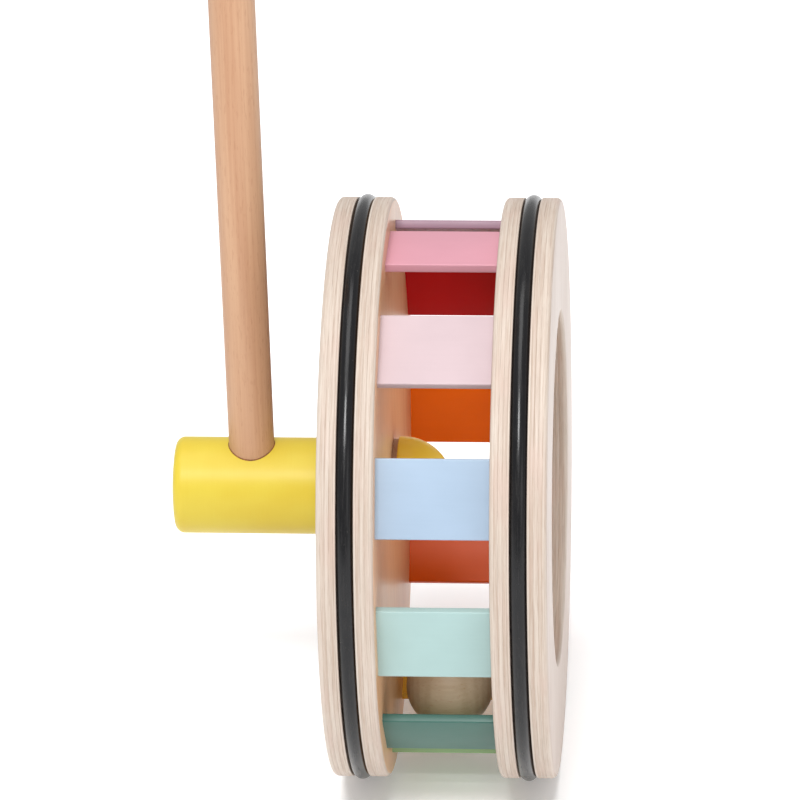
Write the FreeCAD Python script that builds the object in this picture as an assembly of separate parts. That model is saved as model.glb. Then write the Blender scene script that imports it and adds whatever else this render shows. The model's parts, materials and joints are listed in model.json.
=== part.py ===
import FreeCAD, Part
import math
import os

from FreeCAD import Placement, Rotation, Vector

# Push-along roller drum: two plywood rims with rubber tyres, joined by eleven painted
# slats, turn on a wooden axle. The axle is glued into a hub that carries the push stick.
# A wooden ball lies loose in the drum, in the space between its two lowest slats.
#
# Frame, in millimetres: the origin is on the floor, under the middle of the drum.
# +X is the direction of travel, +Y runs along the axle towards the hub, +Z is up.

# Rims: the one beside the hub is a solid disc, the other is an open ring.
RIM_RADIUS = 115.0
RIM_THICKNESS = 22.0
RIM_GAP = 44.0
RIM_EDGE_RADIUS = 2.0
OPENING_RADIUS = 70.0
OPENING_EDGE_RADIUS = 1.5

# Tyres: round rubber cords in a groove in the middle of each rim.
TYRE_CORD_RADIUS = 3.3
TYRE_PROUD = 1.2
GROOVE_CLEARANCE = 0.05

# Slats: flat strips let into both rims. Their angle is counted from the pusher's side, upwards.
SLAT_WIDTH = 31.0
SLAT_THICKNESS = 3.5
SLAT_OUTER_FACE = 104.8
SLAT_HOUSING_DEPTH = 5.0
SLAT_EDGE_RADIUS = 0.4
SLAT_CLEARANCE = 0.05
SLATS_BEFORE_BALL = 8
SLAT_COLOURS = [
    "light_blue",
    "pale_pink",
    "pink",
    "purple",
    "dark_red",
    "orange",
    "orange_red",
    "amber",
    "lime",
    "green",
    "mint",
]

# Axle, and the washers at the two faces of the solid rim.
AXLE_RADIUS = 6.0
RUNNING_CLEARANCE = 0.06
GLUE_CLEARANCE = 0.03
AXLE_INTO_HUB = 20.0
AXLE_INTO_DOME = 12.0
INNER_WASHER_THICKNESS = 1.9
INNER_WASHER_RADIUS = 19.0
OUTER_WASHER_THICKNESS = 1.5
OUTER_WASHER_RADIUS = 14.0
WASHER_CLEARANCE = 0.1

# Hub: a turned cylinder with a crowned end.
HUB_RADIUS = 19.2
HUB_LENGTH = 64.3
HUB_EDGE_RADIUS = 3.5
HUB_CROWN = 1.2
HUB_INNER_CHAMFER = 0.8

# Stick: a dowel through the hub, leaning back to the pusher.
STICK_RADIUS = 9.0
STICK_HOLE_CLEARANCE = 0.25
STICK_LENGTH = 480.0
STICK_BELOW_AXLE = 15.6
STICK_LEAN = 4.0
STICK_TO_RIM = 34.0
STICK_FOOT_CHAMFER = 0.8

# Dome: the round nut on the inner end of the axle, a half ball on a short skirt.
DOME_RADIUS = 20.0
DOME_SKIRT = 1.6
DOME_EDGE_RADIUS = 0.8

# Ball: it rests on the inner edges of the two lowest slats.
BALL_RADIUS = 17.5
BALL_Y = 1.5
BALL_TO_SLATS = 0.3

# Places worked out from the sizes above.
AXLE_Z = RIM_RADIUS + TYRE_PROUD
AXLE_CENTRE = Vector(0, 0, AXLE_Z)
ALONG_AXLE = Vector(0, 1, 0)
RIM_INNER_Y = RIM_GAP / 2
RIM_OUTER_Y = RIM_INNER_Y + RIM_THICKNESS
RIM_MIDDLE_Y = RIM_INNER_Y + RIM_THICKNESS / 2
SLAT_INNER_FACE = SLAT_OUTER_FACE - SLAT_THICKNESS
SLAT_STEP = 360.0 / len(SLAT_COLOURS)
STRAIGHT_DOWN = 270.0
SLAT_FIRST_ANGLE = STRAIGHT_DOWN - (SLATS_BEFORE_BALL - 0.5) * SLAT_STEP
OUTER_WASHER_Y = RIM_OUTER_Y + WASHER_CLEARANCE
HUB_Y = OUTER_WASHER_Y + OUTER_WASHER_THICKNESS
STICK_Y = RIM_OUTER_Y + STICK_TO_RIM
DOME_BASE_Y = RIM_INNER_Y - WASHER_CLEARANCE - INNER_WASHER_THICKNESS


def at(radius, along):
    """A point of a turned part's outline: distance from its axis, and place along it."""
    return Vector(radius, along, 0)


def line(start, end):
    return Part.LineSegment(start, end).toShape()


def arc(start, centre, end):
    """The shorter arc about centre from start to end."""
    radius = (start - centre).Length
    middle = (start - centre) + (end - centre)
    through = centre + middle.normalize() * radius
    return Part.Arc(start, through, end).toShape()


def turned(edges):
    """Turn an outline of edges about the axle's line."""
    face = Part.Face(Part.Wire(edges))
    solid = face.revolve(Vector(0, 0, 0), ALONG_AXLE, 360)
    solid.translate(AXLE_CENTRE)
    return solid


def rod(radius, y_from, y_to):
    """A cylinder on the axle's line."""
    start = Vector(0, y_from, AXLE_Z)
    return Part.makeCylinder(radius, y_to - y_from, start, ALONG_AXLE)


def washer(radius, hole_radius, y_from, thickness):
    hole = rod(hole_radius, y_from - 1, y_from + thickness + 1)
    return rod(radius, y_from, y_from + thickness).cut(hole)


def rim(middle_y, bore_radius, bore_edge_radius):
    """A rim with rounded edges, its tyre groove, and a bore or opening."""
    low = middle_y - RIM_THICKNESS / 2
    high = middle_y + RIM_THICKNESS / 2
    edge = RIM_EDGE_RADIUS
    flat = RIM_RADIUS - edge
    groove = TYRE_CORD_RADIUS + GROOVE_CLEARANCE
    floor = tyre_circle_radius()
    soft = bore_edge_radius
    edges = [
        line(at(bore_radius + soft, low), at(flat, low)),
        arc(at(flat, low), at(flat, low + edge), at(RIM_RADIUS, low + edge)),
        line(at(RIM_RADIUS, low + edge), at(RIM_RADIUS, middle_y - groove)),
        line(at(RIM_RADIUS, middle_y - groove), at(floor, middle_y - groove)),
        Part.Arc(
            at(floor, middle_y - groove), at(floor - groove, middle_y), at(floor, middle_y + groove)
        ).toShape(),
        line(at(floor, middle_y + groove), at(RIM_RADIUS, middle_y + groove)),
        line(at(RIM_RADIUS, middle_y + groove), at(RIM_RADIUS, high - edge)),
        arc(at(RIM_RADIUS, high - edge), at(flat, high - edge), at(flat, high)),
        line(at(flat, high), at(bore_radius + soft, high)),
    ]
    if soft:
        bore_low, bore_high = low + soft, high - soft
        middle = bore_radius + soft
        edges.append(arc(at(middle, high), at(middle, bore_high), at(bore_radius, bore_high)))
        edges.append(line(at(bore_radius, bore_high), at(bore_radius, bore_low)))
        edges.append(arc(at(bore_radius, bore_low), at(middle, bore_low), at(middle, low)))
    else:
        edges.append(line(at(bore_radius, high), at(bore_radius, low)))
    return turned(edges)


def tyre_circle_radius():
    """Radius of the circle that the tyre cord's centre follows."""
    return RIM_RADIUS + TYRE_PROUD - TYRE_CORD_RADIUS


def tyre(middle_y):
    centre = Vector(0, middle_y, AXLE_Z)
    return Part.makeTorus(tyre_circle_radius(), TYRE_CORD_RADIUS, centre, ALONG_AXLE)


def slat_blank(extra=0.0):
    """A slat lying flat above the axle, or with extra all round the housing cut for it."""
    width = SLAT_WIDTH + 2 * extra
    length = RIM_GAP + 2 * (SLAT_HOUSING_DEPTH + extra)
    corner = Vector(-width / 2, -length / 2, SLAT_INNER_FACE - extra)
    return Part.makeBox(width, length, SLAT_THICKNESS + 2 * extra, corner)


def placed_slat(solid, index):
    """Swing a slat from above the axle to its own place round the drum."""
    angle = SLAT_FIRST_ANGLE + index * SLAT_STEP
    placement = Placement(AXLE_CENTRE, Rotation(ALONG_AXLE, angle - 90))
    moved = solid.copy()
    moved.Placement = placement
    return moved


def slats():
    blank = slat_blank()
    long_edges = [e for e in blank.Edges if abs(e.tangentAt(e.FirstParameter).y) > 0.9]
    blank = blank.makeFillet(SLAT_EDGE_RADIUS, long_edges)
    return {
        "slat_" + colour: placed_slat(blank, index) for index, colour in enumerate(SLAT_COLOURS)
    }


def rims():
    """Both rims, each cut with the housings that hold the slats' ends."""
    housing = slat_blank(SLAT_CLEARANCE)
    housings = [placed_slat(housing, index) for index in range(len(SLAT_COLOURS))]
    disc = rim(RIM_MIDDLE_Y, AXLE_RADIUS + RUNNING_CLEARANCE, 0)
    ring = rim(-RIM_MIDDLE_Y, OPENING_RADIUS, OPENING_EDGE_RADIUS)
    return {"solid_rim": disc.cut(housings), "open_rim": ring.cut(housings)}


def tyres():
    return {"solid_rim_tyre": tyre(RIM_MIDDLE_Y), "open_rim_tyre": tyre(-RIM_MIDDLE_Y)}


def stick_direction():
    lean = math.radians(STICK_LEAN)
    return Vector(-math.sin(lean), 0, math.cos(lean))


def stick():
    """A dowel with a chamfered foot in the hub and a round top."""
    up = stick_direction()
    foot = Vector(0, STICK_Y, AXLE_Z) - up * STICK_BELOW_AXLE
    neck = STICK_BELOW_AXLE + STICK_LENGTH - STICK_RADIUS
    base = Part.makeCone(STICK_RADIUS - STICK_FOOT_CHAMFER, STICK_RADIUS, STICK_FOOT_CHAMFER, foot, up)
    shank_start = foot + up * STICK_FOOT_CHAMFER
    shank = Part.makeCylinder(STICK_RADIUS, neck - STICK_FOOT_CHAMFER, shank_start, up)
    top = Part.makeSphere(STICK_RADIUS, foot + up * neck)
    return base.fuse([shank, top]).removeSplitter()


def hub():
    """The hub, with a crowned outer end, the stick's hole and the axle's blind bore."""
    far = HUB_Y + HUB_LENGTH
    edge = HUB_EDGE_RADIUS
    shoulder = far - HUB_CROWN - edge
    rim_of_crown = HUB_RADIUS - edge
    crown_radius = (rim_of_crown**2 + HUB_CROWN**2) / (2 * HUB_CROWN)
    half_way = rim_of_crown / 2
    half_drop = crown_radius - math.sqrt(crown_radius**2 - half_way**2)
    chamfer = HUB_INNER_CHAMFER
    body = turned(
        [
            line(at(0, HUB_Y), at(HUB_RADIUS - chamfer, HUB_Y)),
            line(at(HUB_RADIUS - chamfer, HUB_Y), at(HUB_RADIUS, HUB_Y + chamfer)),
            line(at(HUB_RADIUS, HUB_Y + chamfer), at(HUB_RADIUS, shoulder)),
            arc(at(HUB_RADIUS, shoulder), at(rim_of_crown, shoulder), at(rim_of_crown, shoulder + edge)),
            Part.Arc(
                at(rim_of_crown, shoulder + edge), at(half_way, far - half_drop), at(0, far)
            ).toShape(),
            line(at(0, far), at(0, HUB_Y)),
        ]
    )
    up = stick_direction()
    reach = 2 * HUB_RADIUS
    start = Vector(0, STICK_Y, AXLE_Z) - up * reach
    stick_hole = Part.makeCylinder(STICK_RADIUS + STICK_HOLE_CLEARANCE, 2 * reach, start, up)
    axle_bore = rod(AXLE_RADIUS + GLUE_CLEARANCE, HUB_Y - 1, HUB_Y + AXLE_INTO_HUB)
    return body.cut([stick_hole, axle_bore])


def dome():
    """A half ball on a skirt with a softened base edge, bored for the axle."""
    edge = DOME_EDGE_RADIUS
    flat = DOME_RADIUS - edge
    centre_y = DOME_BASE_Y - DOME_SKIRT
    half = math.radians(45)
    on_ball = at(DOME_RADIUS * math.cos(half), centre_y - DOME_RADIUS * math.sin(half))
    skirt_top = at(DOME_RADIUS, DOME_BASE_Y - edge)
    skirt_foot = at(DOME_RADIUS, centre_y)
    tip = at(0, centre_y - DOME_RADIUS)
    body = turned(
        [
            line(at(0, DOME_BASE_Y), at(flat, DOME_BASE_Y)),
            arc(at(flat, DOME_BASE_Y), at(flat, DOME_BASE_Y - edge), skirt_top),
            line(skirt_top, skirt_foot),
            Part.Arc(skirt_foot, on_ball, tip).toShape(),
            line(tip, at(0, DOME_BASE_Y)),
        ]
    )
    bore = rod(AXLE_RADIUS + GLUE_CLEARANCE, DOME_BASE_Y - AXLE_INTO_DOME, DOME_BASE_Y + 1)
    return body.cut(bore)


def handle_parts():
    """Everything that stays still while the drum turns."""
    hole = AXLE_RADIUS + GLUE_CLEARANCE
    return {
        "hub": hub(),
        "push_stick": stick(),
        "axle": rod(AXLE_RADIUS, DOME_BASE_Y - AXLE_INTO_DOME, HUB_Y + AXLE_INTO_HUB),
        "dome_cap": dome(),
        "outer_washer": washer(OUTER_WASHER_RADIUS, hole, OUTER_WASHER_Y, OUTER_WASHER_THICKNESS),
        "inner_washer": washer(INNER_WASHER_RADIUS, hole, DOME_BASE_Y, INNER_WASHER_THICKNESS),
    }


def ball():
    """A ball straight below the axle, held up by the inner edges of two slats."""
    edge_reach = math.hypot(SLAT_INNER_FACE, SLAT_WIDTH / 2)
    edge_angle = math.radians(SLAT_STEP / 2) - math.atan2(SLAT_WIDTH / 2, SLAT_INNER_FACE)
    half_space = edge_reach * math.sin(edge_angle)
    edges_below_axle = edge_reach * math.cos(edge_angle)
    above_edges = math.sqrt((BALL_RADIUS + BALL_TO_SLATS) ** 2 - half_space**2)
    return Part.makeSphere(BALL_RADIUS, Vector(0, BALL_Y, AXLE_Z - edges_below_axle + above_edges))


def export(parts):
    os.makedirs("parts", exist_ok=True)
    for name, shape in parts.items():
        solids = shape.Solids
        if len(solids) != 1 or not solids[0].isValid():
            raise ValueError(f"{name} is not one valid solid")
        solids[0].exportStep(f"parts/{name}.step")
        print(f"{name}: {solids[0].Volume / 1000:.2f} cm3")


export({**rims(), **tyres(), **slats(), **handle_parts(), "loose_ball": ball()})
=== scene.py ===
import json
import math

import bmesh
import bpy
from mathutils import Matrix, Vector


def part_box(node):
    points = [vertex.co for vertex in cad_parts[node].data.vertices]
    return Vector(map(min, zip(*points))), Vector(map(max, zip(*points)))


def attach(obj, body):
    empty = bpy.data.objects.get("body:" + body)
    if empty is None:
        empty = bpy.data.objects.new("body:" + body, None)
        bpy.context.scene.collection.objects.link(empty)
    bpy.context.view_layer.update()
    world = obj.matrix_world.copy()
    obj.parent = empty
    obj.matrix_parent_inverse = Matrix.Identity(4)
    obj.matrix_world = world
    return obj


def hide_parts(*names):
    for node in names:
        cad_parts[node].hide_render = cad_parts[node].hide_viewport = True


# The looks of a push-along roller drum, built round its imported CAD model.
# Metres, in the model's frame: origin on the floor under the drum, +X the way it is pushed,
# +Y along the axle towards the hub, +Z up. The drum's own shapes turn about the axle.

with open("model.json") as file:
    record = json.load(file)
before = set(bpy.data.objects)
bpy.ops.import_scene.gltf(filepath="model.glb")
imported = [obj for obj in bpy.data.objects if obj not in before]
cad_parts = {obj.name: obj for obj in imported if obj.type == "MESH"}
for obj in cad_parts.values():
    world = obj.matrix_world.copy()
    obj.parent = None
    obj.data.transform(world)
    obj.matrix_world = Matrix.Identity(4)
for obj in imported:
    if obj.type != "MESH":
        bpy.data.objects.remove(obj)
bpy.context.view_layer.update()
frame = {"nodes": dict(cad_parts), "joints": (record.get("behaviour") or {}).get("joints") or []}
MM = 0.001


def joint_place(name):
    joint = next(j for j in frame["joints"] if j["name"] == name)
    return Vector(joint["pos_m"])


def thickness(node):
    low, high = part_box(node)
    return high.y - low.y


def outer_radius(node):
    low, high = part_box(node)
    return (high.z - low.z) / 2


# Sizes read from the CAD model.
AXLE = joint_place("drum_spin")
BALL = joint_place("ball_spin")
RIM_RADIUS = outer_radius("solid_rim")
RIM_THICKNESS = thickness("solid_rim")
TYRE_RADIUS = outer_radius("solid_rim_tyre")
CORD_RADIUS = thickness("solid_rim_tyre") / 2
AXLE_RADIUS = outer_radius("axle")
HUB_RADIUS = outer_radius("hub")
STICK_RADIUS = thickness("push_stick") / 2

# Sizes of the finer detail.
OPENING_RADIUS = 70 * MM
OPENING_EDGE = 1.5 * MM
RIM_EDGE = 2 * MM
GROOVE_LIP = 0.45 * MM
PLY_COUNT = 13
PLY_VALLEY = 0.05 * MM
PLY_VALLEY_HALF_WIDTH = 0.11 * MM
RIM_SEGMENTS = 288
CORD_SEGMENTS = 24
CORD_WANDER = 0.14 * MM
SLAT_EDGE = 0.55 * MM
AXLE_CLEARANCE = 0.06 * MM
AXLE_BORE_EDGE = 0.3 * MM
STICK_LEAN = math.radians(4)
GLUE_BEAD = 0.32 * MM
GLUE_SEGMENTS = 96
GLUE_SECTION = 8

# How many features of the wood's grain show through paint, per metre along X, Y and Z.
STRIP_GRAIN = (900, 30, 900)
LATHE_GRAIN = (60, 1500, 60)

# The camera before it is raised about the axle: where it stands, and how it is turned.
CAMERA_PLACE = Vector((-2.50752, -0.15241, 0.16689))
CAMERA_YAW = 0.0686
CAMERA_PITCH = -0.0065
CAMERA_ROLL = 0.0079
CAMERA_RISE = math.radians(26.05)
CAMERA_LENS = 284.72


def srgb(red, green, blue):
    """A colour given as 0-255 display values, as linear RGBA."""
    linear = []
    for value in (red, green, blue):
        share = value / 255
        linear.append(share / 12.92 if share <= 0.04045 else ((share + 0.055) / 1.055) ** 2.4)
    return (*linear, 1.0)


SLAT_COLOURS = {
    "light_blue": srgb(155, 174, 194),
    "pale_pink": srgb(188, 168, 172),
    "pink": srgb(198, 142, 155),
    "purple": srgb(144, 112, 128),
    "dark_red": srgb(192, 5, 18),
    "orange": srgb(252, 112, 0),
    "orange_red": srgb(232, 92, 6),
    "amber": srgb(214, 160, 44),
    "lime": srgb(134, 164, 118),
    "green": srgb(60, 102, 92),
    "mint": srgb(159, 186, 184),
}
PLY_LIGHT = srgb(198, 186, 174)
PLY_DARK = srgb(168, 147, 131)
PLY_PINK = srgb(190, 166, 154)
PLY_GLUE = srgb(134, 110, 92)
VENEER = (srgb(184, 163, 150), srgb(166, 140, 120))
# Veneer for the solid rim's inner face: made warmer and lighter than the plain veneer, as painted bounce
# light from the orange and red slats, not the wood's own colour.
VENEER_WITH_PAINTED_BOUNCE = (srgb(232, 186, 143), srgb(214, 162, 118))
BEECH_LIGHT = srgb(199, 160, 127)
BEECH_DARK = srgb(175, 129, 97)
BEECH_FLECK = srgb(144, 92, 62)
MAPLE_LIGHT = srgb(204, 188, 162)
MAPLE_DARK = srgb(176, 154, 121)
YELLOW = srgb(205, 185, 66)
YELLOW_DEEP = srgb(200, 173, 50)
# The dome cap wears the hub's yellow paint; these two tones are set brighter and warmer than the hub's, as
# painted light that makes up for the shade inside the drum.
DOME_YELLOW_WITH_PAINTED_LIGHT = srgb(255, 216, 74)
DOME_YELLOW_DEEP_WITH_PAINTED_LIGHT = srgb(252, 206, 64)
RUBBER = srgb(18, 18, 20)
RUBBER_DUST = srgb(72, 68, 66)


# ---- Materials -------------------------------------------------------------------------


class Look:
    """A material being built on the Principled shader, with one short method per kind of node."""

    def __init__(self, name, centre=(0, 0, 0), turn=0.0):
        self.material = bpy.data.materials.new(name)
        self.material.use_nodes = True
        self.tree = self.material.node_tree
        self.shader = self.tree.nodes["Principled BSDF"]
        self.coordinates = self.put("ShaderNodeTexCoord", {})
        shifted = self.put(
            "ShaderNodeVectorMath",
            {0: self.coordinates.outputs["Object"], 1: tuple(centre)},
            operation="SUBTRACT",
        )
        turned = self.put(
            "ShaderNodeVectorRotate",
            {"Vector": shifted.outputs["Vector"], "Angle": turn},
            rotation_type="Y_AXIS",
        )
        self.place = turned.outputs["Vector"]
        self.x, self.y, self.z = self.put("ShaderNodeSeparateXYZ", {"Vector": self.place}).outputs

    def put(self, kind, inputs, **settings):
        """Add a node, and fill its sockets with values or with other nodes' outputs."""
        node = self.tree.nodes.new(kind)
        for name, value in settings.items():
            setattr(node, name, value)
        for socket, value in inputs.items():
            if isinstance(value, bpy.types.NodeSocket):
                self.tree.links.new(value, node.inputs[socket])
            else:
                node.inputs[socket].default_value = value
        return node

    def math(self, operation, *values):
        return self.put("ShaderNodeMath", dict(enumerate(values)), operation=operation).outputs[0]

    def blur_noise(self, per_metre, detail=3.0, roughness=0.5, distortion=0.0, seed=0.0):
        """Noise from 0 to 1, with its own number of features per metre along X, Y and Z."""
        stretched = self.put(
            "ShaderNodeMapping",
            {"Vector": self.place, "Scale": per_metre, "Location": (seed, seed * 1.7, seed * 2.3)},
        )
        noise = self.put(
            "ShaderNodeTexNoise",
            {
                "Vector": stretched.outputs["Vector"],
                "Scale": 1.0,
                "Detail": detail,
                "Roughness": roughness,
                "Distortion": distortion,
            },
        )
        return noise.outputs["Fac"]

    def span(self, value, low, high, to_low=0.0, to_high=1.0):
        """Carry value from low..high to to_low..to_high, held at its ends."""
        inputs = {
            "Value": value,
            "From Min": low,
            "From Max": high,
            "To Min": to_low,
            "To Max": to_high,
        }
        return self.put("ShaderNodeMapRange", inputs, interpolation_type="SMOOTHSTEP").outputs[0]

    def mix(self, share, first, second, blend="MIX"):
        inputs = {0: share, 6: first, 7: second}
        node = self.put("ShaderNodeMix", inputs, data_type="RGBA", blend_type=blend)
        return node.outputs[2]

    def total(self, *terms):
        """The sum of (value, weight) terms."""
        result = 0.0
        for value, weight in terms:
            result = self.math("MULTIPLY_ADD", value, weight, result)
        return result

    def distance_from_y_line(self):
        """How far a point lies from the line along Y through the look's centre."""
        squares = self.total((self.math("POWER", self.x, 2.0), 1.0), (self.math("POWER", self.z, 2.0), 1.0))
        return self.math("SQRT", squares)

    def facing_y(self):
        """How far the surface faces along the axle, from 0 to 1, in the piece's own frame."""
        normal = self.put("ShaderNodeSeparateXYZ", {"Vector": self.coordinates.outputs["Normal"]})
        return self.math("ABSOLUTE", normal.outputs["Y"])

    def bump(self, height, depth):
        node = self.put("ShaderNodeBump", {"Height": height, "Distance": depth, "Strength": 1.0})
        self.tree.links.new(node.outputs["Normal"], self.shader.inputs["Normal"])

    def finish(self, **sockets):
        """Fill the shader's sockets, given with underscores for spaces, and return the material."""
        for name, value in sockets.items():
            socket = self.shader.inputs[name.replace("_", " ")]
            if isinstance(value, bpy.types.NodeSocket):
                self.tree.links.new(value, socket)
            else:
                socket.default_value = value
        return self.material


def plywood(name, low_face_y, low_veneer, high_veneer, seed):
    """Birch plywood: crossed plies with glue lines on the rims' edges, a veneer on their faces.

    Each veneer is a pair of a light and a dark tone, for the face at low y and the one at high y.
    """
    look = Look(name, centre=(0, low_face_y, AXLE.z))
    pitch = RIM_THICKNESS / PLY_COUNT
    wander = look.blur_noise((22, 3, 22), detail=2, seed=seed)
    depth = look.total((look.y, 1.0), (wander, 0.45 * MM))
    ply = look.math("DIVIDE", look.math("SUBTRACT", depth, 0.22 * MM), pitch)
    index = look.math("FLOOR", ply)
    within = look.math("FRACT", ply)
    odd = look.math("FLOORED_MODULO", index, 2.0)
    own_tone = look.put("ShaderNodeTexWhiteNoise", {"W": index}, noise_dimensions="1D").outputs["Value"]

    # Each ply shows end grain where its grain runs out of the rim's edge.
    across = look.math("POWER", look.x, 2.0)
    radius_squared = look.math("ADD", across, look.math("POWER", look.z, 2.0))
    end_share = look.math("DIVIDE", across, look.math("MAXIMUM", radius_squared, 1e-6))
    even = look.math("SUBTRACT", 1.0, odd)
    swapped = look.math("ABSOLUTE", look.math("SUBTRACT", end_share, even))

    streaks = look.blur_noise((30, 1500, 30), detail=4, roughness=0.6, seed=seed)
    fibres = look.blur_noise((160, 3800, 160), detail=3, roughness=0.7, seed=seed + 3)
    pores = look.blur_noise((1400, 2600, 1400), detail=2, seed=seed + 5)
    patches = look.blur_noise((34, 90, 34), detail=3, seed=seed + 7)
    from_middle = look.math("ABSOLUTE", look.math("SUBTRACT", within, 0.5))
    glue_break = look.blur_noise((90, 300, 90), detail=2, seed=seed + 9)
    glue_share = look.span(from_middle, 0.42, 0.49)
    glue_line = look.math("MULTIPLY", glue_share, look.span(glue_break, 0.35, 0.6))
    tone = look.total(
        (own_tone, 0.2),
        (odd, 0.14),
        (swapped, 0.1),
        (look.span(streaks, 0.3, 0.7), 0.42),
        (look.span(fibres, 0.3, 0.7), 0.2),
    )
    edge = look.mix(look.span(tone, 0.1, 1.05), PLY_LIGHT, PLY_DARK)
    edge = look.mix(look.span(patches, 0.45, 0.75, 0.0, 0.5), edge, PLY_PINK)
    open_pores = look.math("MULTIPLY", look.span(pores, 0.66, 0.74), swapped)
    edge = look.mix(look.math("MULTIPLY", open_pores, 0.35), edge, PLY_GLUE)
    edge = look.mix(look.math("MULTIPLY", glue_line, 0.5), edge, PLY_GLUE)

    figure = look.blur_noise((260, 4, 7), detail=4, roughness=0.55, distortion=0.4, seed=seed + 11)
    flecks = look.blur_noise((1300, 20, 150), detail=2, seed=seed + 13)
    cloud = look.blur_noise((16, 4, 9), detail=2, seed=seed + 15)
    face_tone = look.total((look.span(figure, 0.3, 0.7), 0.55), (look.span(cloud, 0.3, 0.7), 0.3))
    side = look.span(look.y, 0.3 * RIM_THICKNESS, 0.7 * RIM_THICKNESS)
    light, dark = (look.mix(side, low, high) for low, high in zip(low_veneer, high_veneer))
    face = look.mix(face_tone, light, dark)
    face = look.mix(look.span(flecks, 0.62, 0.74, 0.0, 0.3), face, PLY_GLUE)

    on_face = look.span(look.facing_y(), 0.9, 0.97)
    colour = look.mix(on_face, edge, face)
    edge_height = look.total((streaks, 0.5), (fibres, 0.4), (glue_line, -0.6), (open_pores, -0.5))
    face_height = look.total((figure, 0.3), (flecks, -0.3))
    height = look.put("ShaderNodeMix", {0: on_face, 2: edge_height, 3: face_height}).outputs[0]
    look.bump(height, 0.05 * MM)
    roughness = look.total((streaks, 0.12), (on_face, -0.2), (0.46, 1.0))
    return look.finish(Base_Color=colour, Roughness=roughness, Specular_IOR_Level=0.45)


def paint(name, colour, deep, seed, grain=STRIP_GRAIN, roughness=0.36, centre=(0, 0, 0)):
    """Satin paint over wood: faint grain and stipple in the film, with its colour a little uneven."""
    look = Look(name, centre=centre)
    film = look.blur_noise((55, 40, 55), detail=3, seed=seed)
    grain_lines = look.blur_noise(grain, detail=4, roughness=0.6, seed=seed + 2)
    stipple = look.blur_noise((2600, 2600, 2600), detail=2, seed=seed + 4)
    dust = look.blur_noise((700, 700, 700), detail=1, seed=seed + 6)
    share = look.total((look.span(film, 0.3, 0.7), 0.45), (look.span(grain_lines, 0.35, 0.65), 0.1))
    tint = look.mix(share, colour, deep)
    tint = look.mix(look.span(dust, 0.74, 0.8, 0.0, 0.25), tint, deep)
    look.bump(look.total((grain_lines, 0.2), (stipple, 0.25), (film, 0.8)), 0.03 * MM)
    uneven_roughness = look.total((film, 0.12), (stipple, 0.06), (roughness - 0.09, 1.0))
    return look.finish(Base_Color=tint, Roughness=uneven_roughness, Specular_IOR_Level=0.24)


def darker(colour, share):
    return (*[value * share for value in colour[:3]], 1.0)


def beech(name, turn, fleck_share, seed):
    """Oiled beech with its grain along Z after the turn: long bands, and short dark flecks."""
    look = Look(name, centre=AXLE, turn=turn)
    bands = look.blur_noise((140, 140, 5), detail=3, distortion=0.3, seed=seed)
    fibres = look.blur_noise((900, 900, 14), detail=4, roughness=0.6, seed=seed + 2)
    short = look.blur_noise((1500, 1500, 210), detail=1, seed=seed + 4)
    cloud = look.blur_noise((30, 30, 12), detail=2, seed=seed + 6)
    tone = look.total(
        (look.span(bands, 0.3, 0.7), 0.5), (look.span(fibres, 0.3, 0.7), 0.3), (cloud, 0.2)
    )
    colour = look.mix(tone, BEECH_LIGHT, BEECH_DARK)
    dash = look.span(short, 0.6, 0.7)
    colour = look.mix(look.math("MULTIPLY", dash, fleck_share), colour, BEECH_FLECK)
    look.bump(look.total((fibres, 0.6), (dash, -0.6), (bands, 0.4)), 0.05 * MM)
    roughness = look.total((fibres, 0.14), (dash, 0.1), (0.42, 1.0))
    return look.finish(Base_Color=colour, Roughness=roughness, Specular_IOR_Level=0.4)


def turned_wood(name, centre, seed):
    """A pale turned ball: growth rings cut across, so that they show as ovals at its poles."""
    look = Look(name, centre=centre, turn=math.radians(24))
    warp = look.blur_noise((40, 40, 20), detail=2, seed=seed)
    rings = look.total((look.distance_from_y_line(), 2200.0), (warp, 9.0))
    ring = look.math("SINE", rings)
    fibres = look.blur_noise((800, 30, 800), detail=4, roughness=0.6, seed=seed + 2)
    flecks = look.blur_noise((1500, 240, 1500), detail=1, seed=seed + 4)
    tone = look.total((look.span(ring, -0.6, 1.0), 0.22), (look.span(fibres, 0.3, 0.7), 0.3))
    colour = look.mix(tone, MAPLE_LIGHT, MAPLE_DARK)
    colour = look.mix(look.span(flecks, 0.64, 0.74, 0.0, 0.35), colour, BEECH_DARK)
    look.bump(look.total((fibres, 0.5), (ring, 0.15)), 0.04 * MM)
    roughness = look.total((fibres, 0.16), (0.36, 1.0))
    return look.finish(Base_Color=colour, Roughness=roughness, Specular_IOR_Level=0.45)


def rubber(name, seed):
    """Black rubber cord, smooth and slightly dusty, with fine scuffs where it rolls."""
    look = Look(name, centre=AXLE)
    dust = look.blur_noise((60, 120, 60), detail=4, roughness=0.65, seed=seed)
    specks = look.blur_noise((1100, 1100, 1100), detail=1, seed=seed + 2)
    scuffs = look.blur_noise((120, 1600, 120), detail=3, roughness=0.6, seed=seed + 4)
    rolls = look.span(look.distance_from_y_line(), TYRE_RADIUS - 0.9 * MM, TYRE_RADIUS)
    worn = look.math("MULTIPLY", rolls, look.span(scuffs, 0.45, 0.75))
    dusty = look.span(dust, 0.5, 0.8)
    speckled = look.span(specks, 0.76, 0.8)
    grey = look.total((dusty, 0.1), (speckled, 0.5), (worn, 0.14))
    colour = look.mix(grey, RUBBER, RUBBER_DUST)
    look.bump(look.total((scuffs, 0.5), (specks, 0.3)), 0.03 * MM)
    roughness = look.total((dust, 0.14), (worn, 0.1), (0.16, 1.0))
    return look.finish(Base_Color=colour, Roughness=roughness, Specular_IOR_Level=0.3)


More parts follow.
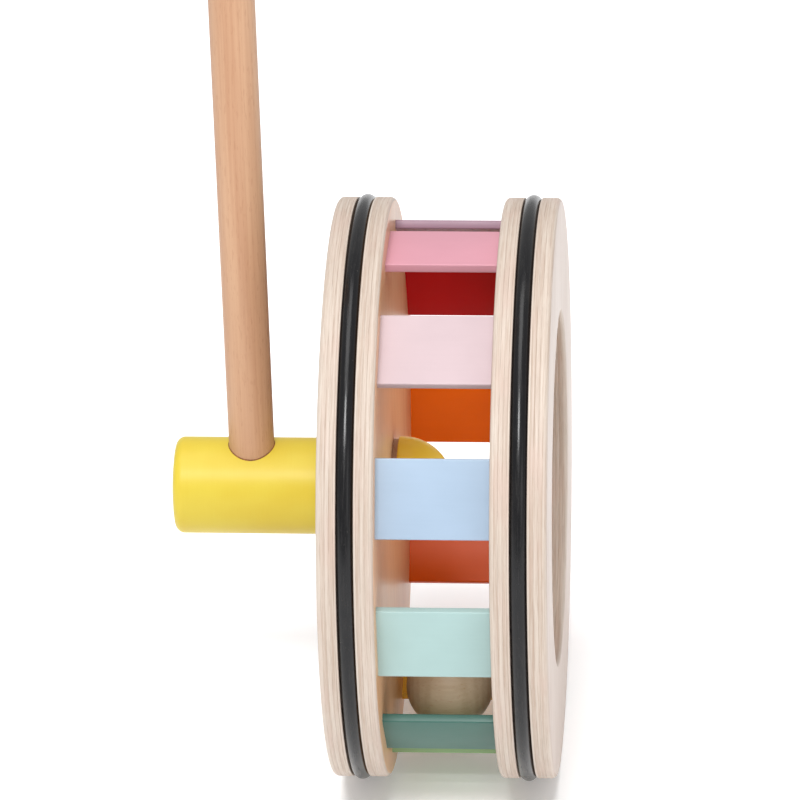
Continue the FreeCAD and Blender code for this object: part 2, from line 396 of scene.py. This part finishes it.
def zinc(name):
    """A stamped, zinc-plated washer with faint turning marks round the axle."""
    look = Look(name, centre=AXLE)
    marks = look.math("SINE", look.math("MULTIPLY", look.distance_from_y_line(), 26000.0))
    blotch = look.blur_noise((300, 300, 300), detail=3, seed=2.0)
    colour = look.mix(look.span(blotch, 0.3, 0.7), srgb(196, 198, 200), srgb(160, 160, 158))
    look.bump(look.total((marks, 0.4), (blotch, 0.6)), 0.012 * MM)
    roughness = look.total((blotch, 0.25), (0.22, 1.0))
    return look.finish(Base_Color=colour, Roughness=roughness, Metallic=1.0)


def glue(name):
    """Dark glue and wood dust in the joint between stick and hub."""
    look = Look(name)
    lumps = look.blur_noise((1500, 1500, 1500), detail=3, seed=4.0)
    colour = look.mix(look.span(lumps, 0.3, 0.7), srgb(150, 96, 44), srgb(96, 56, 28))
    look.bump(lumps, 0.08 * MM)
    return look.finish(Base_Color=colour, Roughness=0.6)


# ---- Meshes ----------------------------------------------------------------------------


def mesh_object(name, vertices, faces, material, sharp_angle=40):
    """A smooth-shaded mesh whose edges sharper than the angle, in degrees, stay crisp."""
    mesh = bpy.data.meshes.new(name)
    mesh.from_pydata([tuple(v) for v in vertices], [], faces)
    mesh.validate()
    mesh.shade_smooth()
    mesh.set_sharp_from_angle(angle=math.radians(sharp_angle))
    mesh.materials.append(material)
    piece = bpy.data.objects.new(name, mesh)
    bpy.context.scene.collection.objects.link(piece)
    return piece


def arc(centre, radius, start, end, steps):
    """Points of (distance from the axle, y) on an arc, from start to end in degrees."""
    points = []
    for step in range(steps + 1):
        angle = math.radians(start + (end - start) * step / steps)
        points.append((centre[0] + radius * math.cos(angle), centre[1] + radius * math.sin(angle)))
    return points


def lathe(name, outline, material, segments=RIM_SEGMENTS, reshape=None):
    """Turn a closed outline of (distance from the axle, y) points about the axle."""
    count = len(outline)
    vertices = []
    for segment in range(segments):
        angle = 2 * math.pi * segment / segments
        for radius, y in outline:
            if reshape:
                radius, y = reshape(radius, y, angle)
            vertices.append((radius * math.cos(angle), y, AXLE.z + radius * math.sin(angle)))
    faces = []
    for segment in range(segments):
        here = segment * count
        there = (segment + 1) % segments * count
        for point in range(count):
            following = (point + 1) % count
            faces.append((here + point, here + following, there + following, there + point))
    return mesh_object(name, vertices, faces, material)


def ply_wall(radius, valley, start, end, low_face):
    """A rim's turned wall from y start to y end, with a fine valley at each glue line."""
    pitch = RIM_THICKNESS / PLY_COUNT
    lines = [low_face + pitch * number for number in range(1, PLY_COUNT)]
    if end < start:
        lines.reverse()
    step = math.copysign(PLY_VALLEY_HALF_WIDTH, end - start)
    points = []
    for line in lines:
        if min(start, end) + 2 * abs(step) < line < max(start, end) - 2 * abs(step):
            points += [(radius, line - step), (radius + valley, line), (radius, line + step)]
    return points


def rim_outline(low, bore, bore_edge):
    """A rim's outline: its bore, its faces, its rounded edges and the groove for the tyre."""
    high = low + RIM_THICKNESS
    middle = (low + high) / 2
    shoulder = RIM_RADIUS - RIM_EDGE
    groove = CORD_RADIUS + 0.05 * MM
    cord_circle = TYRE_RADIUS - CORD_RADIUS
    lip = GROOVE_LIP
    wall_low = middle - groove - lip
    wall_high = middle + groove + lip
    outline = arc((shoulder, low + RIM_EDGE), RIM_EDGE, -90, 0, 8)
    outline += ply_wall(RIM_RADIUS, -PLY_VALLEY, low + RIM_EDGE, wall_low, low)
    outline += arc((RIM_RADIUS - lip, wall_low), lip, 0, 90, 4)
    outline += arc((cord_circle, middle), groove, -90, -270, 16)
    outline += arc((RIM_RADIUS - lip, wall_high), lip, -90, 0, 4)
    outline += ply_wall(RIM_RADIUS, -PLY_VALLEY, wall_high, high - RIM_EDGE, low)
    outline += arc((shoulder, high - RIM_EDGE), RIM_EDGE, 0, 90, 8)
    centre = bore + bore_edge
    outline += arc((centre, high - bore_edge), bore_edge, 90, 180, 6)
    outline += ply_wall(bore, PLY_VALLEY, high - bore_edge, low + bore_edge, low)
    outline += arc((centre, low + bore_edge), bore_edge, 180, 270, 6)
    return outline


def build_rim(node, bore, bore_edge, material):
    low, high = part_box(node)
    piece = lathe(node + "_plies", rim_outline(low.y, bore, bore_edge), material)
    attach(piece, "drum")
    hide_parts(node)


def build_tyre(node, material, phase):
    """A rubber cord that wanders a little in its groove, as a stretched cord does."""
    low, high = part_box(node)
    middle = (low.y + high.y) / 2
    circle = TYRE_RADIUS - CORD_RADIUS
    outline = arc((circle, middle), CORD_RADIUS, 0, 360, CORD_SEGMENTS)[:-1]

    def wander(radius, y, angle):
        drift = 0.6 * math.sin(3 * angle + phase) + 0.4 * math.sin(7 * angle + 2.1 * phase)
        pinch = 1 - 0.012 * (1 + math.sin(5 * angle + phase))
        return circle + (radius - circle) * pinch, middle + (y - middle) * pinch + CORD_WANDER * drift

    piece = lathe(node + "_cord", outline, material, reshape=wander)
    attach(piece, "drum")
    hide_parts(node)


def slat_frame(node):
    """A slat's own frame, X across it and Z outwards, and its size in that frame."""
    low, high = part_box(node)
    outwards = (low + high) / 2 - AXLE
    turn = Matrix.Rotation(math.atan2(outwards.x, outwards.z), 4, "Y")
    to_world = Matrix.Translation(AXLE) @ turn
    to_local = to_world.inverted()
    corners = [to_local @ v.co for v in frame["nodes"][node].data.vertices]
    lowest = Vector([min(c[axis] for c in corners) for axis in range(3)])
    highest = Vector([max(c[axis] for c in corners) for axis in range(3)])
    centre = Matrix.Translation((lowest + highest) / 2)
    return to_world @ centre, highest - lowest


def build_slat(colour_name, seed):
    """A painted strip with softened long edges, let into the rims at its ends."""
    node = "slat_" + colour_name
    place, size = slat_frame(node)
    shape = bmesh.new()
    bmesh.ops.create_cube(shape, size=1.0, matrix=Matrix.Diagonal((*size, 1.0)))
    long_edges = [e for e in shape.edges if abs((e.verts[0].co - e.verts[1].co).y) > size.y / 2]
    bmesh.ops.bevel(
        shape, geom=long_edges, offset=SLAT_EDGE, segments=4, profile=0.5, affect="EDGES"
    )
    mesh = bpy.data.meshes.new(node + "_painted")
    shape.to_mesh(mesh)
    shape.free()
    mesh.shade_smooth()
    mesh.set_sharp_from_angle(angle=math.radians(40))
    colour = SLAT_COLOURS[colour_name]
    mesh.materials.append(paint("paint_" + colour_name, colour, darker(colour, 0.9), seed))
    piece = bpy.data.objects.new(mesh.name, mesh)
    bpy.context.scene.collection.objects.link(piece)
    piece.matrix_world = place
    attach(piece, "drum")
    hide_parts(node)


def build_glue_line(material):
    """A thin bead round the stick, where it enters the top of the hub."""
    low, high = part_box("push_stick")
    stick_y = (low.y + high.y) / 2
    up = Vector((-math.sin(STICK_LEAN), 0, math.cos(STICK_LEAN)))
    beside = Vector((math.cos(STICK_LEAN), 0, math.sin(STICK_LEAN)))
    along = Vector((0, 1, 0))
    centre = Vector((AXLE.x, stick_y, AXLE.z))
    vertices = []
    for step in range(GLUE_SEGMENTS):
        angle = 2 * math.pi * step / GLUE_SEGMENTS
        outwards = along * math.cos(angle) + beside * math.sin(angle)
        sideways = STICK_RADIUS * math.sin(angle)
        rise = math.sqrt(HUB_RADIUS**2 - sideways**2)
        middle = centre + outwards * (STICK_RADIUS + 0.1 * MM) + up * (rise - 0.12 * MM)
        for corner in range(GLUE_SECTION):
            bend = 2 * math.pi * corner / GLUE_SECTION
            vertices.append(middle + GLUE_BEAD * (math.cos(bend) * outwards + math.sin(bend) * up))
    faces = []
    for step in range(GLUE_SEGMENTS):
        here = step * GLUE_SECTION
        there = (step + 1) % GLUE_SEGMENTS * GLUE_SECTION
        for corner in range(GLUE_SECTION):
            following = (corner + 1) % GLUE_SECTION
            faces.append((here + corner, here + following, there + following, there + corner))
    piece = mesh_object("stick_glue_line", vertices, faces, material)
    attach(piece, "handle")


def dress(node, material):
    """Give a CAD node that keeps its own shape a better material."""
    for slot in frame["nodes"][node].material_slots:
        slot.material = material


# ---- The object ------------------------------------------------------------------------

solid_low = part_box("solid_rim")[0].y
open_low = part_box("open_rim")[0].y
# The solid rim's inner face (low y) gets the veneer with painted warm bounce light; its outer face gets the
# plain veneer.
solid_ply = plywood("birch_ply_solid", solid_low, VENEER_WITH_PAINTED_BOUNCE, VENEER, seed=1.0)
open_ply = plywood("birch_ply_open", open_low, VENEER, VENEER, seed=8.0)
build_rim("solid_rim", AXLE_RADIUS + AXLE_CLEARANCE, AXLE_BORE_EDGE, solid_ply)
build_rim("open_rim", OPENING_RADIUS, OPENING_EDGE, open_ply)
build_tyre("solid_rim_tyre", rubber("rubber_solid", seed=1.0), phase=0.4)
build_tyre("open_rim_tyre", rubber("rubber_open", seed=5.0), phase=2.6)
for number, colour_name in enumerate(SLAT_COLOURS):
    build_slat(colour_name, seed=3.0 * number)
build_glue_line(glue("joint_glue"))

yellow = paint("yellow_hub", YELLOW, YELLOW_DEEP, 31.0, LATHE_GRAIN, roughness=0.4, centre=AXLE)
dress("hub", yellow)
# The dome cap inside the drum gets a brightened copy of the hub's yellow: painted light for its shaded
# place.
dome = paint("yellow_dome_painted_light", DOME_YELLOW_WITH_PAINTED_LIGHT, DOME_YELLOW_DEEP_WITH_PAINTED_LIGHT, 34.0, LATHE_GRAIN, roughness=0.3, centre=AXLE)
dress("dome_cap", dome)
dress("push_stick", beech("beech_stick", turn=STICK_LEAN, fleck_share=0.16, seed=41.0))
dress("axle", beech("beech_axle", turn=0.0, fleck_share=0.4, seed=45.0))
dress("loose_ball", turned_wood("turned_ball", centre=BALL, seed=47.0))
dress("outer_washer", zinc("zinc_washer"))
dress("inner_washer", beech("beech_washer", turn=0.0, fleck_share=0.45, seed=43.0))


# ---- Stage, light and camera -----------------------------------------------------------


def floor_material():
    look = Look("pale_floor")
    mottle = look.blur_noise((3, 3, 3), detail=3)
    colour = look.mix(mottle, srgb(249, 249, 250), srgb(252, 252, 252))
    glow = {"Emission_Color": (1.0, 1.0, 1.0, 1.0), "Emission_Strength": 0.2}
    return look.finish(Base_Color=colour, Roughness=0.9, Specular_IOR_Level=0.1, **glow)


def build_floor():
    reach = 30.0
    corners = [(-reach, -reach, 0), (reach, -reach, 0), (reach, reach, 0), (-reach, reach, 0)]
    floor = mesh_object("floor", corners, [(0, 1, 2, 3)], floor_material())


def build_world():
    """White surroundings: full white to the eye, and a little less as light."""
    world = bpy.data.worlds.new("white_studio")
    world.use_nodes = True
    nodes, links = world.node_tree.nodes, world.node_tree.links
    path = nodes.new("ShaderNodeLightPath")
    strength = nodes.new("ShaderNodeMapRange")
    strength.inputs["To Min"].default_value = 0.5
    strength.inputs["To Max"].default_value = 1.0
    links.new(path.outputs["Is Camera Ray"], strength.inputs["Value"])
    background = nodes["Background"]
    background.inputs["Color"].default_value = (1.0, 1.0, 1.0, 1.0)
    links.new(strength.outputs[0], background.inputs["Strength"])
    bpy.context.scene.world = world


def softbox(name, place, size, watts):
    """A square white lamp that points at the axle and doesn't show in the picture."""
    light = bpy.data.lights.new(name, "AREA")
    light.shape = "SQUARE"
    light.size = size
    light.energy = watts
    lamp = bpy.data.objects.new(name, light)
    lamp.location = place
    lamp.rotation_mode = "QUATERNION"
    lamp.rotation_quaternion = (AXLE - Vector(place)).to_track_quat("-Z", "Y")
    lamp.visible_camera = False
    bpy.context.scene.collection.objects.link(lamp)


def build_camera():
    """The camera stands behind the drum, a little to the open side, and looks down along +X."""
    level_reach = math.cos(CAMERA_PITCH)
    forwards = Vector(
        (
            level_reach * math.cos(CAMERA_YAW),
            level_reach * math.sin(CAMERA_YAW),
            math.sin(CAMERA_PITCH),
        )
    )
    level = forwards.cross(Vector((0, 0, 1))).normalized()
    upright = level.cross(forwards)
    right = level * math.cos(CAMERA_ROLL) + upright * math.sin(CAMERA_ROLL)
    up = upright * math.cos(CAMERA_ROLL) - level * math.sin(CAMERA_ROLL)
    data = bpy.data.cameras.new("camera")
    data.sensor_width = 36
    data.lens = CAMERA_LENS
    data.clip_start = 0.05
    data.clip_end = 200
    camera = bpy.data.objects.new("camera", data)
    rise = Matrix.Rotation(CAMERA_RISE, 4, "Y")
    about_axle = Matrix.Translation(AXLE) @ rise @ Matrix.Translation(-AXLE)
    camera.matrix_world = about_axle @ Matrix.Translation(CAMERA_PLACE) @ Matrix(
        (
            (right.x, up.x, -forwards.x, 0),
            (right.y, up.y, -forwards.y, 0),
            (right.z, up.z, -forwards.z, 0),
            (0, 0, 0, 1),
        )
    )
    bpy.context.scene.collection.objects.link(camera)
    bpy.context.scene.camera = camera


build_floor()
build_world()
softbox("front", place=(-2.12, 0.15, 2.9), size=1.0, watts=88)
softbox("top", place=(-0.02, 0.2, 2.66), size=1.8, watts=34)
softbox("fill_right", place=(-1.84, -2.2, 1.03), size=1.2, watts=6)
build_camera()
bpy.context.scene.view_settings.view_transform = "Standard"
